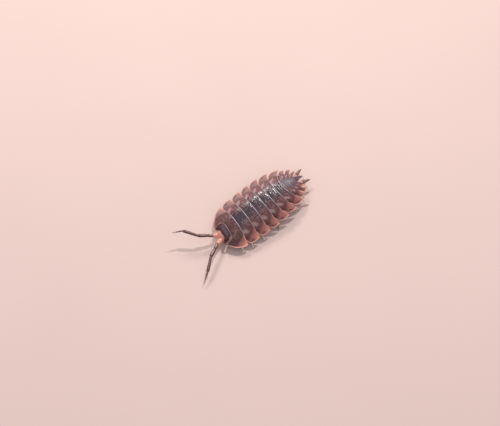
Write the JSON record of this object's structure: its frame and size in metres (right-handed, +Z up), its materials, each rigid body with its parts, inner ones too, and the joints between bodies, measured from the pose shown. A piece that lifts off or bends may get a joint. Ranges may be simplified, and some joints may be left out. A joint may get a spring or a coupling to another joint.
{
  "type": "woodlouse",
  "caption": "Life-size woodlouse standing on its feet: overlapping shell plates over a vaulted back, pointed side plates, head with side lobes, long bent feelers and forked tail.",
  "frame": {"origin": "on the floor under the middle of the animal's bounding box, feelers and feet included", "axes": "+X toward the head, +Y to the animal's left, +Z up"},
  "size_m": [0.0226, 0.0088, 0.0034],
  "materials": {
    "shell": "glossy dark grey-brown chitin with pale rear edges and mottled marks",
    "head": "glossy near-black chitin",
    "antenna": "dark brown chitin with pale joints",
    "eye": "shiny black bead of small facets",
    "uropod": "dark brown chitin, paler at the joint",
    "pale": "pale, faintly translucent chitin of legs and gill flaps"
  },
  "bodies": {
    "root": {"head": "head", "eye_left": "eye", "eye_right": "eye", "antenna_left_base": "antenna", "antenna_left_article_4": "antenna", "antenna_left_article_5": "antenna", "antenna_left_flagellum": "antenna", "antenna_right_base": "antenna", "antenna_right_article_4": "antenna", "antenna_right_article_5": "antenna", "antenna_right_flagellum": "antenna", "pereonite_1": "shell", "pereonite_2": "shell", "pereonite_3": "shell", "pereonite_4": "shell", "pereonite_5": "shell", "pereonite_6": "shell", "pereonite_7": "shell", "pleonite_1": "shell", "pleonite_2": "shell", "pleonite_3": "shell", "pleonite_4": "shell", "pleonite_5": "shell", "telson": "shell", "pleopods": "pale", "uropod_left": "uropod", "uropod_right": "uropod", "leg_left_1": "pale", "leg_left_2": "pale", "leg_left_3": "pale", "leg_left_4": "pale", "leg_left_5": "pale", "leg_left_6": "pale", "leg_left_7": "pale", "leg_right_1": "pale", "leg_right_2": "pale", "leg_right_3": "pale", "leg_right_4": "pale", "leg_right_5": "pale", "leg_right_6": "pale", "leg_right_7": "pale"}
  },
  "joints": []
}
